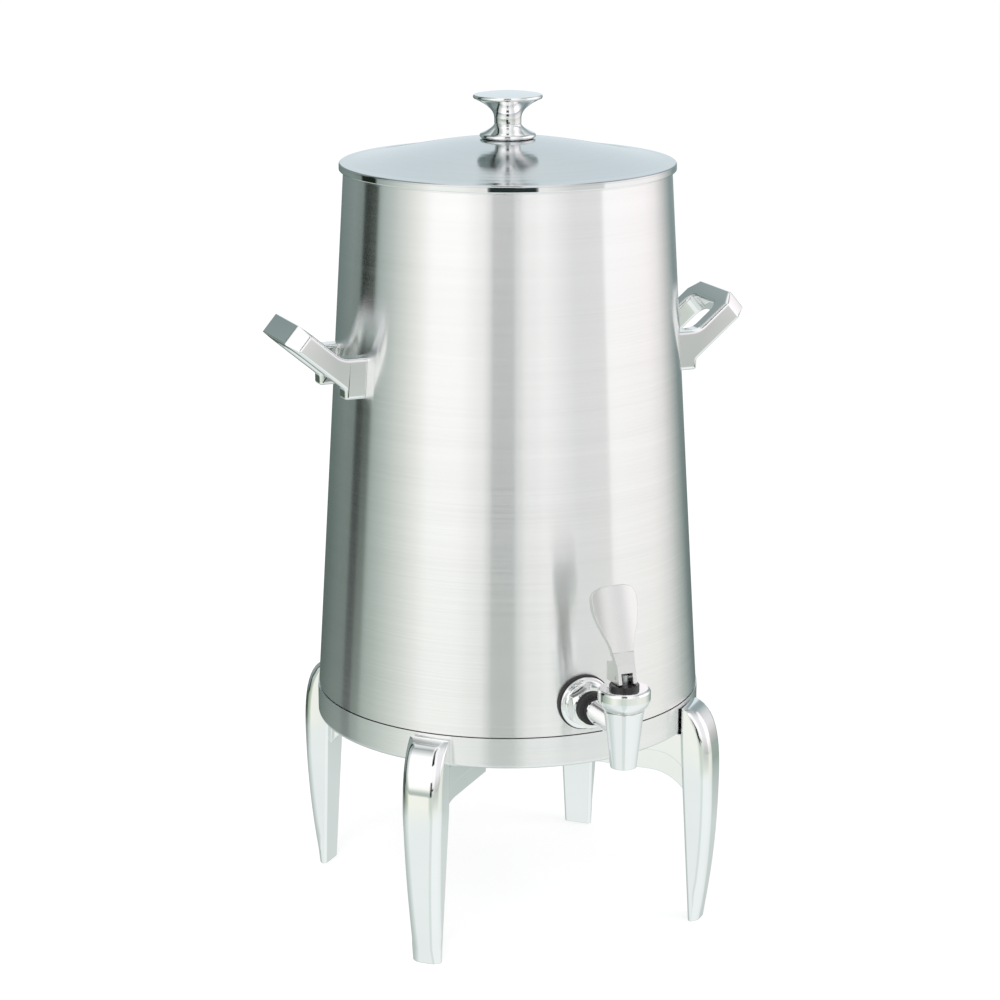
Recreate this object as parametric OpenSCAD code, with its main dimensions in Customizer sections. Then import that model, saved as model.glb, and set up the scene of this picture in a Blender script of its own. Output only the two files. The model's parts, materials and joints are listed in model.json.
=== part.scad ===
// Insulated coffee urn: a double-walled steel vessel on four cast legs, with a lift-off lid,
// two loop handles and a lever tap. The origin is on the floor under the middle of the urn,
// +Z is up and the tap faces -Y. Sizes are in millimetres.

/* [Vessel] */
// Outer diameter of the shell at its lower edge
shell_bottom_d = 299; // [285:1:312]
// Outer diameter of the shell at its mouth
shell_top_d = 250.4; // [240:0.2:262]
// Height of the shell from the seam to the mouth
shell_h = 406; // [360:1:450]
// Sheet thickness of the outer shell
shell_t = 1.2; // [0.8:0.1:2]
// Sheet thickness of the inner liner
liner_t = 1; // [0.8:0.1:1.8]
// Width of the vacuum gap between shell and liner
vacuum_gap = 11; // [7:0.5:15]
// Gap between the liner's floor and the jacket's bottom
floor_gap = 4; // [3:0.5:8]
// Inner corner radius of the liner's floor
liner_corner_r = 6; // [4:0.5:8]
// Sheet thickness of the jacket's bottom
jacket_t = 1.5; // [1:0.1:3]
// Height of the jacket bottom's welded edge
jacket_edge_h = 12; // [6:1:20]
// Thickness of the ring that closes the mouth
mouth_ring_t = 1.8; // [1.2:0.1:3]
// Depth of the mouth ring's neck inside the liner
mouth_neck_h = 12; // [8:1:20]
// Diameter of the cap over the vacuum tip
seal_cap_d = 26; // [18:1:40]
// Height of the cap over the vacuum tip
seal_cap_h = 4; // [2:0.5:8]

/* [Base] */
// Height of the base pan's underside above the floor
leg_h = 155; // [135:1:175]
// Width by which the base pan stands out past the shell
pan_step = 0.8; // [0.3:0.1:2.5]
// Height of the base pan's wall
pan_h = 24; // [20:1:32]
// Sheet thickness of the base pan
pan_t = 1.5; // [1:0.1:2.5]
// Outer corner radius of the base pan
pan_corner_r = 3; // [2.5:0.5:5]
// Open seam between the base pan and the shell
seam_gap = 0.6; // [0.3:0.1:1.5]
// Diameter of the circle of standoffs
standoff_circle_d = 190; // [150:5:220]
// Diameter of each standoff
standoff_d = 12; // [10:0.5:16]

/* [Legs] */
// Width of a leg at the height of the base pan
leg_w = 32; // [27:0.5:36]
// Width of a leg at the floor
foot_w = 23; // [19:0.5:26]
// Depth of a leg's top below the seam
leg_top_drop = 2.5; // [1:0.5:6]
// Distance from the base pan's wall to the furthest bulge of a leg
leg_bulge = 25; // [20:0.5:32]
// Height of the furthest bulge above the floor
leg_bulge_z = 120; // [100:1:126]
// Distance from the base pan's wall to the outer face of a foot
foot_reach = 15; // [10:0.5:20]
// Radial thickness of a foot at the floor
foot_t = 7.5; // [6:0.5:12]
// Width of the bevel along a leg's outer edges
leg_bevel = 5.5; // [2:0.5:7]
// Width of the bevel along a leg's inner edges
leg_inner_bevel = 2; // [0.5:0.5:3]
// Gap between a leg and the base pan's wall
leg_gap = 0.6; // [0.3:0.1:1.5]
// Length of a leg's arm under the base pan
arm_l = 88; // [80:1:96]
// Thickness of the full-width top of the arm
arm_flange_t = 16; // [10:1:20]
// Depth of the arm's rib below its full-width top
arm_rib_h = 18; // [12:1:24]
// Width of the arm's rib
arm_rib_w = 15; // [12:1:20]
// Radius of the arch where the rib meets the leg
arch_r = 36; // [28:1:42]
// Distance from the base pan's wall to the outer leg screw
leg_screw_inset = 26; // [20:1:32]
// Spacing of a leg's two screws
leg_screw_pitch = 40; // [24:1:44]
// Length of a leg screw under its head
leg_screw_l = 22; // [18:1:26]

/* [Handles] */
// Depth of a handle's lower edge below the mouth
handle_drop = 161.5; // [140:0.5:200]
// Height of the foot where a handle meets the shell
handle_foot_h = 31.5; // [24:0.5:34]
// Reach of a handle from the shell to its outer edge
handle_reach = 56; // [48:0.5:64]
// Angle at which a handle rises
handle_angle = 40; // [32:1:46]
// Thickness of a handle across its loop
handle_t = 17.4; // [14:0.2:20]
// Width of a handle from outside to outside of its arms
handle_w = 71; // [62:1:84]
// Thickness of each arm of a handle
handle_arm_t = 14; // [11:0.5:17]
// Thickness of the grip, measured along the loop
handle_grip_t = 14; // [11:0.5:18]
// Length of the slanted corners of a handle
handle_corner = 10; // [6:0.5:14]
// Length of a handle's foot before its underside rises
handle_foot_l = 12; // [10:0.5:16]

/* [Lid] */
// Width by which the lid stands out past the shell
lid_overhang = 3.3; // [2:0.1:6]
// Height of the lid's rim
lid_rim_h = 5.5; // [4:0.5:9]
// Rise of the lid's dome above its rim
dome_rise = 17.5; // [12:0.5:24]
// Part of that rise that is an even slope
dome_slope_rise = 4; // [2:0.5:6]
// Width of the flat edge outside the bell of the dome
lid_flange_w = 5; // [3:0.5:20]
// Sheet thickness of the lid
lid_t = 1.2; // [0.8:0.1:2]
// Depth of the plug below the mouth
plug_depth = 24; // [18:1:34]
// Gap between the plug and the mouth ring
plug_gap = 3; // [2:0.5:5]
// Gap between the lid's gasket and the mouth ring
gasket_gap = 0.4; // [0.3:0.1:1]
// Height of the lid's gasket
gasket_h = 6; // [4:0.5:9]
// Depth of the gasket's upper edge below the mouth
gasket_drop = 4; // [3:0.5:8]

/* [Knob] */
// Diameter of the knob's top disc
knob_d = 53; // [44:1:62]
// Diameter of the knob's waist
knob_waist_d = 20.6; // [16:0.2:26]
// Height of the upper part of the knob
knob_h = 24.5; // [20:0.5:32]
// Thickness of the knob's disc at its edge
knob_edge_t = 3; // [2:0.2:5]
// Height of the crown on top of the disc
knob_crown_h = 2.4; // [1:0.2:4]
// Diameter of the knob's flared base
knob_base_d = 43; // [34:1:50]
// Height of the knob's flared base
knob_base_h = 11; // [9:0.5:16]

/* [Tap] */
// Height of the tap's shank above the seam
tap_rise = 25; // [25:0.5:40]
// Distance from the shell to the tap's upright axis
tap_reach = 71; // [62:1:84]
// Outer diameter of the outlet tube
tube_d = 21; // [18:0.5:22]
// Bore of the outlet tube and of the shank
water_bore_d = 14; // [10:0.5:15]
// Diameter of the escutcheon
escutcheon_d = 40; // [37:0.5:45]
// Thickness of the escutcheon
escutcheon_t = 5.5; // [4:0.5:8]
// Thickness of the gasket behind the escutcheon
escutcheon_gasket_t = 2; // [1:0.1:3]
// Width of the coupling nut across its flats
nut_af = 31; // [29:0.5:36]
// Outer diameter of the shank behind the spout
shank_d = 18.6; // [18:0.2:20.4]
// Outer diameter of the black ring on the shank
shank_ring_d = 25.2; // [23:0.2:30]
// Length of the black ring on the shank
shank_ring_l = 3.4; // [2:0.2:6]
// Outer diameter of the spout at its outlet
spout_outlet_d = 19.4; // [18:0.2:24]
// Outer diameter of the spout below the bonnet nut
spout_top_d = 29.4; // [28.6:0.2:34]
// Drop from the shank's centre line to the outlet
spout_drop = 27.5; // [24:0.5:36]
// Bore of the spout's outlet
outlet_bore_d = 13.6; // [10:0.2:14]
// Bore of the chamber above the valve seat
chamber_d = 19; // [18:0.5:20.5]
// Outer diameter of the bonnet nut
bonnet_d = 38.6; // [35:0.2:46]
// Height of the bonnet nut
bonnet_h = 15.5; // [13:0.5:20]
// Diameter of the black bush on top of the bonnet nut
bush_d = 22; // [21:0.5:28]
// Height of the black bush above the bonnet nut
bush_h = 3; // [2:0.5:5]
// Diameter of the valve stem
stem_d = 6; // [5:0.2:7]
// Wire diameter of the closing spring
spring_wire_d = 1.2; // [0.8:0.1:1.6]
// Number of turns of the closing spring
spring_turns = 5; // [4:1:7]

/* [Tap lever] */
// Width of the lever's hub
hub_w = 14.2; // [13.4:0.2:18]
// Length of the hub behind the pin
hub_rear = 15; // [12:0.5:18]
// Height of the hub
hub_h = 14.5; // [12:0.5:18]
// Width of the slot that takes the stem
hub_slot_w = 9; // [8:0.2:9.4]
// Height of the pin above the black bush
pin_rise = 5; // [4.6:0.2:7]
// Diameter of the lever's pin
pin_d = 3; // [2.4:0.1:3.2]
// Lift of the stem for each radian of the lever
cam_lift = 3.5; // [2.5:0.1:4.5]
// Furthest turn of the lever, in degrees
lever_turn = 30; // [20:1:34]
// Height of the neck between the hub and the paddle
neck_h = 8.6; // [6:0.2:14]
// Forward lean of the neck's foot, in degrees
neck_lean = 27; // [15:1:34]
// Width of the paddle's foot
paddle_foot_w = 16.6; // [14:0.2:20]
// Width of the paddle
paddle_w = 35.6; // [30:0.2:46]
// Length of the paddle
paddle_l = 49; // [40:0.5:60]
// Thickness of the paddle
paddle_t = 4; // [3:0.2:6]
// Backward lean of the paddle, in degrees
paddle_lean = 20; // [10:1:26]
// Radius of the paddle's crowned front
paddle_crown_r = 42; // [34:1:70]

/* [Hidden] */

$fn = 96;
big = 500;            // larger than any piece, for cutting
fit = 0.1;            // radial gap of a bolted or threaded fit
weld_gap = 0.05;      // gap between welded sheets
running_fit = 0.05;   // radial gap of a pin or stem that moves

// Heights
seam_z = leg_h + pan_h;
shell_z = seam_z + seam_gap;
top_z = seam_z + shell_h;
shell_end_z = top_z - mouth_ring_t;
jacket_z = shell_z + 1;
liner_z = jacket_z + jacket_t + floor_gap;

// Cone of the shell and what follows it
shell_taper = (shell_bottom_d - shell_top_d) / 2 / shell_h;
function shell_r(z) = shell_bottom_d / 2 - (z - seam_z) * shell_taper;
function shell_inner_r(z) = shell_r(z) - shell_t;
function liner_r(z) = shell_inner_r(z) - vacuum_gap;
liner_end_r = liner_r(shell_end_z);
neck_t = mouth_ring_t - 0.6;
mouth_outer_r = liner_end_r - liner_t - fit;
mouth_r = mouth_outer_r - neck_t;
pan_r = shell_bottom_d / 2 + pan_step;

// Fasteners: M6 for the legs and knob, M5 for the base and handles
m6_d = 5.9;
m6_hole_d = 6.6;
m6_head_d = 10;
m6_head_h = 4;
m6_washer_d = 12;
m6_washer_t = 1.6;
m5_d = 4.9;
m5_hole_d = 5.5;
m5_head_d = 9.5;
m5_head_h = 3;
base_screw_l = 12;

// Points along an arc of a circle or an ellipse, from angle a to angle b
function arc(cx, cy, rx, ry, a, b, n) =
  [for (i = [0:n]) let(t = a + (b - a) * i / n) [cx + rx * cos(t), cy + ry * sin(t)]];

// A polygon's corners rounded: each corner is [x, y, radius], and radius 0 stays sharp
function unit(v) = v / norm(v);
function corner(p, q, r, s, n) =
  let(a = unit([p.x - q.x, p.y - q.y]), b = unit([s.x - q.x, s.y - q.y]),
      half = acos(max(-1, min(1, a * b))) / 2, reach = r / tan(half),
      c = [q.x, q.y] + unit(a + b) * r / sin(half),
      from = [q.x, q.y] + a * reach - c, to = [q.x, q.y] + b * reach - c,
      a0 = atan2(from.y, from.x), turn = atan2(from.x * to.y - from.y * to.x, from * to))
  [for (i = [0:n]) c + r * [cos(a0 + turn * i / n), sin(a0 + turn * i / n)]];
function rounded(pts, n = 5) = let(m = len(pts))
  [for (i = [0:m - 1]) let(q = pts[i])
    each (q.z == 0 ? [[q.x, q.y]] : corner(pts[(i + m - 1) % m], q, q.z, pts[(i + 1) % m], n))];

// Places its children at the front of the urn, where local +X points out of the shell
module at_front() { rotate([0, 0, -90]) children(); }
// Turns children that stand on Z so that they lie along local +X from x0 at height z
module lying(x0, z) { translate([x0, 0, z]) rotate([0, 90, 0]) children(); }

// ---- Vessel ----

tap_z = seam_z + tap_rise;
tube_r = tube_d / 2;

module tube_hole() { at_front() lying(0, tap_z) cylinder(h = big, r = tube_r + weld_gap); }

// Handle screws point outwards through the shell, one into each foot of each handle
handle_z = top_z - handle_drop;
handle_screw_z = handle_z + handle_foot_h / 2;
handle_shell_r = shell_r(handle_screw_z);
handle_screw_v = (handle_w - handle_arm_t) / 2;
handle_screw_turn = asin(handle_screw_v / (handle_shell_r + handle_foot_l / 2));

module at_handle_screws() {
  for (side = [0, 180]) for (turn = [-1, 1])
    rotate([0, 0, side + turn * handle_screw_turn]) translate([0, 0, handle_screw_z])
      rotate([0, 90, 0]) children();
}

module outer_shell() {
  color("silver") difference() {
    rotate_extrude($fn = 180) polygon([
      [shell_inner_r(shell_z), shell_z], [shell_r(shell_z), shell_z],
      [shell_r(shell_end_z), shell_end_z], [shell_inner_r(shell_end_z), shell_end_z]]);
    tube_hole();
    at_handle_screws() cylinder(h = big, d = m5_hole_d);
  }
}

module inner_liner() {
  r_out = liner_corner_r + liner_t;
  wall_x = liner_r(liner_z + r_out);
  color("gainsboro") difference() {
    rotate_extrude($fn = 180) polygon(concat(
      [[0, liner_z]],
      arc(wall_x - r_out, liner_z + r_out, r_out, r_out, -90, 0, 6),
      [[liner_end_r, shell_end_z], [liner_end_r - liner_t, shell_end_z]],
      arc(wall_x - r_out, liner_z + r_out, liner_corner_r, liner_corner_r, 0, -90, 6),
      [[0, liner_z + liner_t]]));
    tube_hole();
  }
}

module mouth_ring() {
  ring_r = shell_r(top_z);
  edge_r = 0.8;
  color("silver") rotate_extrude($fn = 180) polygon(rounded([
    [mouth_r, top_z, edge_r], [mouth_r, top_z - mouth_neck_h, 0],
    [mouth_outer_r, top_z - mouth_neck_h, 0], [mouth_outer_r, shell_end_z, 0],
    [ring_r, shell_end_z, 0], [ring_r, top_z, edge_r]]));
}

module jacket_bottom() {
  edge_z = jacket_z + jacket_edge_h;
  function edge_r(z) = shell_inner_r(z) - weld_gap;
  color("silver") rotate_extrude($fn = 180) polygon([
    [0, jacket_z], [edge_r(jacket_z), jacket_z], [edge_r(edge_z), edge_z],
    [edge_r(edge_z) - jacket_t, edge_z], [edge_r(jacket_z) - 2 * jacket_t, jacket_z + jacket_t],
    [0, jacket_z + jacket_t]]);
}

module vacuum_seal_cap() {
  color("silver") translate([0, 0, jacket_z - seal_cap_h])
    cylinder(h = seal_cap_h, d1 = seal_cap_d - seal_cap_h, d2 = seal_cap_d);
}

// ---- Base ----

standoff_turns = [0, 90, 180, 270];
leg_turns = [-135, -45, 135, 45];   // front left, front right, rear left, rear right
leg_screw_radii = [pan_r - leg_screw_inset - leg_screw_pitch, pan_r - leg_screw_inset];

module at_standoffs() {
  for (turn = standoff_turns) rotate([0, 0, turn]) translate([standoff_circle_d / 2, 0, 0]) children();
}
module at_leg_screws() {
  for (turn = leg_turns) for (r = leg_screw_radii) rotate([0, 0, turn]) translate([r, 0, 0]) children();
}

module base_pan() {
  inner_r = pan_corner_r - pan_t;
  cx = pan_r - pan_corner_r;
  cz = leg_h + pan_corner_r;
  color("silver") difference() {
    rotate_extrude($fn = 180) polygon(concat(
      [[0, leg_h]], arc(cx, cz, pan_corner_r, pan_corner_r, -90, 0, 6),
      [[pan_r, seam_z], [pan_r - pan_t, seam_z]],
      arc(cx, cz, inner_r, inner_r, 0, -90, 6), [[0, leg_h + pan_t]]));
    translate([0, 0, leg_h - 1]) {
      at_standoffs() cylinder(h = pan_t + 2, d = m5_hole_d);
      at_leg_screws() cylinder(h = pan_t + 2, d = m6_hole_d);
    }
  }
}

module base_standoffs() {
  standoff_z = leg_h + pan_t;
  color("gray") at_standoffs() difference() {
    translate([0, 0, standoff_z]) cylinder(h = jacket_z - standoff_z, d = standoff_d);
    translate([0, 0, standoff_z - 1]) cylinder(h = base_screw_l + 3, d = m5_d + fit);
  }
}

module base_screws() {
  color("silver") at_standoffs() {
    translate([0, 0, leg_h - m5_head_h]) cylinder(h = m5_head_h, d1 = m5_head_d - 2, d2 = m5_head_d);
    translate([0, 0, leg_h - 1]) cylinder(h = base_screw_l + 1, d = m5_d);
  }
}

module leg_screws() {
  head_z = leg_h + pan_t + m6_washer_t;
  color("gray") at_leg_screws() {
    translate([0, 0, head_z]) cylinder(h = m6_head_h, d = m6_head_d * 2 / sqrt(3), $fn = 6);
    translate([0, 0, head_z - leg_screw_l]) cylinder(h = leg_screw_l + 1, d = m6_d);
  }
}

module leg_washers() {
  color("gray") at_leg_screws() translate([0, 0, leg_h + pan_t]) difference() {
    cylinder(h = m6_washer_t, d = m6_washer_d);
    translate([0, 0, -1]) cylinder(h = m6_washer_t + 2, d = m6_hole_d);
  }
}

// ---- Legs: local +X points away from the urn's axis ----

leg_face_r = pan_r + leg_gap;
leg_bulge_r = pan_r + leg_bulge;
leg_top_z = seam_z - leg_top_drop;
foot_outer_r = pan_r + foot_reach;
arm_inner_r = pan_r - arm_l;
flange_z = leg_h - arm_flange_t;
rib_z = flange_z - arm_rib_h;
leg_power = 2.2;      // how suddenly the outer face turns in towards the foot
leg_shoulder = 2.6;   // how full the outer face stays towards the top

function leg_width(z) = z > leg_bulge_z ? leg_w : foot_w + (leg_w - foot_w) * z / leg_bulge_z;
function leg_inner(z) = z >= leg_h ? leg_face_r
  : leg_face_r + (foot_outer_r - foot_t - leg_face_r) * (leg_h - z) / leg_h;
function leg_outer(z) = z <= leg_bulge_z
  ? leg_bulge_r - (leg_bulge_r - foot_outer_r) * pow(1 - z / leg_bulge_z, leg_power)
  : leg_face_r + (leg_bulge_r - leg_face_r)
    * pow(1 - pow((z - leg_bulge_z) / (leg_top_z - leg_bulge_z), leg_shoulder), 1 / leg_shoulder);

// One level of the leg: a rectangle with bevelled corners, as eight points
function leg_ring(z) = let(x0 = leg_inner(z), x1 = leg_outer(z), h = leg_width(z) / 2, d = x1 - x0,
    bo = min(leg_bevel, d * 0.55), bi = min(leg_inner_bevel, d * 0.25))
  [[x0, -h + bi, z], [x0 + bi, -h, z], [x1 - bo, -h, z], [x1, -h + bo, z],
   [x1, h - bo, z], [x1 - bo, h, z], [x0 + bi, h, z], [x0, h - bi, z]];

leg_levels = concat([for (i = [0:10]) leg_bulge_z * i / 10],
  [for (i = [1:12]) leg_bulge_z + (leg_top_z - leg_bulge_z) * sin(84 * i / 12)]);

module leg_blade() {
  m = len(leg_levels);
  sides = [for (k = [0:m - 2]) for (i = [0:7]) let(j = (i + 1) % 8)
    [k * 8 + i, (k + 1) * 8 + i, (k + 1) * 8 + j, k * 8 + j]];
  polyhedron([for (z = leg_levels) each leg_ring(z)],
    concat([[for (i = [0:7]) i]], sides, [[for (i = [7:-1:0]) (m - 1) * 8 + i]]));
}

// Side outline of the arm that runs in under the pan, down to height z with an arch of radius r
module arm_plate(z, r, width) {
  reach = leg_inner(z - r * 0.55) + leg_inner_bevel + 0.5;
  cx = reach - r * 0.9;
  rotate([90, 0, 0]) translate([0, 0, -width / 2]) linear_extrude(width) polygon(concat(
    [[arm_inner_r, leg_h], [arm_inner_r, z], [cx, z]],
    arc(cx, z - r, r, r, 82, 26, 7),
    [[reach + 1, z - r + r * sin(26)], [leg_face_r + 6, leg_h]]));
}

module leg() {
  color("gainsboro") difference() {
    union() {
      leg_blade();
      arm_plate(flange_z, arch_r * 0.75, leg_w - 2 * leg_inner_bevel);
      arm_plate(rib_z, arch_r, arm_rib_w);
    }
    for (r = leg_screw_radii) translate([r, 0, leg_h - leg_screw_l])
      cylinder(h = leg_screw_l + 1, d = m6_d + fit);
  }
}

module leg_front_left() { rotate([0, 0, leg_turns[0]]) leg(); }
module leg_front_right() { rotate([0, 0, leg_turns[1]]) leg(); }
module leg_rear_left() { rotate([0, 0, leg_turns[2]]) leg(); }
module leg_rear_right() { rotate([0, 0, leg_turns[3]]) leg(); }

// ---- Handles: local +X points away from the urn's axis ----

handle_edge_x = handle_shell_r + handle_reach;
handle_foot_x = handle_shell_r + handle_foot_l;
handle_step = 8;      // height of the foot's outer face before the arm rises
handle_edge_z = handle_z + handle_step + (handle_edge_x - handle_foot_x) * tan(handle_angle);
handle_pad_t = 2.5;
handle_pad_d = 18;

// Side outline: a level foot, then a band that rises outwards
module handle_side() {
  top = [handle_edge_x - handle_t * sin(handle_angle), handle_edge_z + handle_t * cos(handle_angle)];
  foot_top_z = handle_z + handle_foot_h;
  bend_x = top.x - (top.y - foot_top_z) / tan(handle_angle);
  polygon(rounded([
    [handle_shell_r - 12, handle_z, 0], [handle_foot_x, handle_z, 2],
    [handle_foot_x, handle_z + handle_step, 2.5],
    [handle_edge_x, handle_edge_z, 1.6], [top.x, top.y, 1.6],
    [bend_x, foot_top_z, 16], [handle_shell_r - 12, foot_top_z, 0]]));
}

// Loop seen square to the handle's plane, with its outer edge at x = 0
module handle_loop() {
  h = handle_w / 2;
  hi = h - handle_arm_t;
  root = -2 * handle_reach;
  difference() {
    polygon(rounded([[root, -h, 0], [-handle_corner, -h, 3], [0, -h + handle_corner, 3],
      [0, h - handle_corner, 3], [-handle_corner, h, 3], [root, h, 0]]));
    polygon(rounded([[root - 1, -hi, 0], [-handle_grip_t, -hi, 8],
      [-handle_grip_t, hi, 8], [root - 1, hi, 0]]));
  }
}

module handle() {
  color("gainsboro") difference() {
    intersection() {
      rotate([90, 0, 0]) translate([0, 0, -handle_w]) linear_extrude(2 * handle_w) handle_side();
      translate([handle_edge_x, 0, handle_edge_z]) rotate([0, -handle_angle, 0])
        translate([0, 0, -big / 4]) linear_extrude(big / 2) handle_loop();
    }
    rotate_extrude($fn = 180) polygon([[0, seam_z], [shell_r(seam_z), seam_z],
      [shell_r(top_z), top_z], [0, top_z]]);
    for (turn = [-1, 1]) rotate([0, 0, turn * handle_screw_turn])
      translate([handle_shell_r - 15, 0, handle_screw_z]) rotate([0, 90, 0])
        cylinder(h = 15 + handle_foot_l - 1, d = m5_d + fit);
  }
}

module handle_left() { rotate([0, 0, 180]) handle(); }
module handle_right() { handle(); }

// Saddle pads inside the shell, flat where the screw heads bear
module handle_pads() {
  flat_r = handle_shell_r - shell_t - handle_pad_t;
  color("gray") intersection() {
    rotate_extrude($fn = 180) polygon([[0, seam_z], [shell_inner_r(seam_z), seam_z],
      [shell_inner_r(top_z), top_z], [0, top_z]]);
    at_handle_screws() translate([0, 0, flat_r]) difference() {
      cylinder(h = 20, d = handle_pad_d);
      translate([0, 0, -1]) cylinder(h = 22, d = m5_hole_d);
    }
  }
}

module handle_screws() {
  flat_r = handle_shell_r - shell_t - handle_pad_t;
  tip_r = handle_shell_r + handle_foot_l - 2;
  color("gray") at_handle_screws() {
    translate([0, 0, flat_r - m5_head_h]) cylinder(h = m5_head_h, d = m5_head_d);
    translate([0, 0, flat_r - 1]) cylinder(h = tip_r - flat_r + 1, d = m5_d);
  }
}

// ---- Lid ----

lid_r = shell_r(top_z) + lid_overhang;
rim_z = top_z + lid_rim_h;
crest_z = rim_z + dome_rise;
seat_r = knob_base_d / 2 + 1;       // flat seat under the knob
plug_r = mouth_r - plug_gap;
plug_z = top_z - plug_depth;
lid_pan_t = 1;
insulation_gap = 0.5;
bell_r = lid_r - lid_flange_w;
bell_power = 0.6;

function bell(r) = pow(max(0, (1 + cos(180 * min(r, bell_r) / bell_r)) / 2), bell_power);
function slope(r) = dome_slope_rise * (1 - r / lid_r);
function dome_z(r) = r <= seat_r ? crest_z
  : rim_z + slope(r) + (dome_rise - slope(seat_r)) * bell(r) / bell(seat_r);
dome_radii = [for (i = [0:15]) seat_r + (lid_r - 2 - seat_r) * i / 15];

module lid_shell() {
  edge = 1.4;
  hole_r = m6_hole_d / 2;
  inner = lid_r - lid_t;
  color("lightgray") rotate_extrude($fn = 180) polygon(concat(
    [[hole_r, crest_z]], [for (r = dome_radii) [r, dome_z(r)]],
    arc(lid_r - edge, rim_z - edge, edge, edge, 80, 0, 4),
    arc(lid_r - 0.6, top_z + 0.6, 0.6, 0.6, 0, -90, 3), [[inner, top_z], [inner, rim_z - 2 * lid_t]],
    [for (i = [len(dome_radii) - 1:-1:0]) let(r = min(dome_radii[i], inner - 2)) [r, dome_z(r) - lid_t]],
    [[hole_r, crest_z - lid_t]]));
}

module lid_pan() {
  corner_r = 5;
  flange_r = lid_r - lid_t - fit;
  color("silver") rotate_extrude($fn = 180) polygon(concat(
    [[0, plug_z]], arc(plug_r - corner_r, plug_z + corner_r, corner_r, corner_r, -90, 0, 5),
    [[plug_r, top_z], [flange_r, top_z], [flange_r, top_z + lid_pan_t],
     [plug_r - lid_pan_t, top_z + lid_pan_t]],
    arc(plug_r - corner_r, plug_z + corner_r, corner_r - lid_pan_t, corner_r - lid_pan_t, 0, -90, 5),
    [[0, plug_z + lid_pan_t]]));
}

module lid_insulation() {
  pocket_r = m6_washer_d / 2 + 7;
  low_z = plug_z + lid_pan_t;
  flange_z = top_z + lid_pan_t;
  wall_r = plug_r - lid_pan_t - insulation_gap;
  rim_r = lid_r - lid_t - 4;
  radii = [for (r = dome_radii) if (r > pocket_r && r < rim_r) r];
  color("khaki") rotate_extrude($fn = 96) polygon(concat(
    [[pocket_r, low_z], [wall_r - 5, low_z], [wall_r, low_z + 5], [wall_r, flange_z], [rim_r, flange_z],
     [rim_r, dome_z(rim_r) - lid_t - insulation_gap]],
    [for (i = [len(radii) - 1:-1:0]) [radii[i], dome_z(radii[i]) - lid_t - insulation_gap]],
    [[pocket_r, crest_z - lid_t - insulation_gap]]));
}

module lid_gasket() {
  high_z = top_z - gasket_drop;
  lip_r = mouth_r - gasket_gap;
  root_r = plug_r + plug_gap * 0.4;
  lips = 3;
  step = gasket_h / lips;
  color("dimgray") rotate_extrude($fn = 120) polygon(concat(
    [[plug_r, high_z - gasket_h]],
    [for (i = [0:lips - 1]) each [[root_r, high_z - gasket_h + i * step],
      [lip_r, high_z - gasket_h + (i + 0.5) * step]]],
    [[root_r, high_z], [plug_r, high_z]]));
}

// ---- Knob ----

knob_joint_z = crest_z + knob_base_h;
knob_top_z = knob_joint_z + knob_h;
knob_waist_r = knob_waist_d / 2;
knob_screw_l = 26;

module knob_base() {
  base_r = knob_base_d / 2;
  edge_h = 2.2;
  foot_r = base_r - 3;
  color("gainsboro") difference() {
    rotate_extrude($fn = 96) polygon(concat(
      [[0, crest_z], [foot_r, crest_z]],
      arc(foot_r, crest_z + edge_h, 3, edge_h, -60, 40, 4),
      [for (i = [1:8]) let(u = i / 8)
        [knob_waist_r + (base_r - 1 - knob_waist_r) * pow(1 - u, 1.7),
         crest_z + edge_h * 1.8 + (knob_base_h - edge_h * 1.8) * u]],
      [[0, knob_joint_z]]));
    translate([0, 0, crest_z - 1]) cylinder(h = knob_base_h + 2, d = m6_d + fit);
  }
}

module knob() {
  disc_r = knob_d / 2;
  edge_z = knob_top_z - knob_crown_h - knob_edge_t;
  flare_z = knob_joint_z + 4;
  color("gainsboro") difference() {
    rotate_extrude($fn = 96) polygon(concat(
      [[0, knob_joint_z], [knob_waist_r - 0.5, knob_joint_z], [knob_waist_r, knob_joint_z + 0.5]],
      [for (i = [0:8]) let(u = i / 8)
        [knob_waist_r + (disc_r - 1.2 - knob_waist_r) * pow(u, 2.2), flare_z + (edge_z - flare_z) * u]],
      arc(disc_r - 1.2, edge_z + knob_edge_t / 2, 1.2, knob_edge_t / 2, -70, 70, 4),
      [for (i = [0:5]) let(u = i / 5) [(disc_r - 2) * (1 - u),
        knob_top_z - knob_crown_h * pow(1 - u, 2)]]));
    translate([0, 0, knob_joint_z - 1])
      cylinder(h = knob_screw_l - knob_base_h - lid_t, d = m6_d + fit);
  }
}

module knob_washer() {
  color("gray") translate([0, 0, crest_z - lid_t - m6_washer_t]) difference() {
    cylinder(h = m6_washer_t, d = m6_washer_d);
    translate([0, 0, -1]) cylinder(h = m6_washer_t + 2, d = m6_hole_d);
  }
}

module knob_screw() {
  head_z = crest_z - lid_t - m6_washer_t;
  color("gray") {
    translate([0, 0, head_z - m6_head_h])
      cylinder(h = m6_head_h, d = m6_head_d * 2 / sqrt(3), $fn = 6);
    translate([0, 0, head_z - 1]) cylinder(h = knob_screw_l - 2, d = m6_d);
  }
}

// ---- Tap: local +X points out of the shell at the front ----

tap_shell_r = shell_r(tap_z);
tap_x = tap_shell_r + tap_reach;
tube_in_x = liner_r(tap_z) - liner_t - 3;
escutcheon_x = tap_shell_r + escutcheon_gasket_t;
nut_x = escutcheon_x + escutcheon_t;
tube_out_x = nut_x + 3;
tap_washer_t = 1.5;
tap_flange_x = tube_out_x + tap_washer_t;
tap_flange_t = 2;
tap_flange_r = tube_r + 1.6;
nut_lip_t = 2.4;
nut_l = tap_flange_x + tap_flange_t + nut_lip_t + fit - nut_x;
shank_r = shank_d / 2;
shank_ring_x = nut_x + nut_l;
water_r = water_bore_d / 2;

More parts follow.
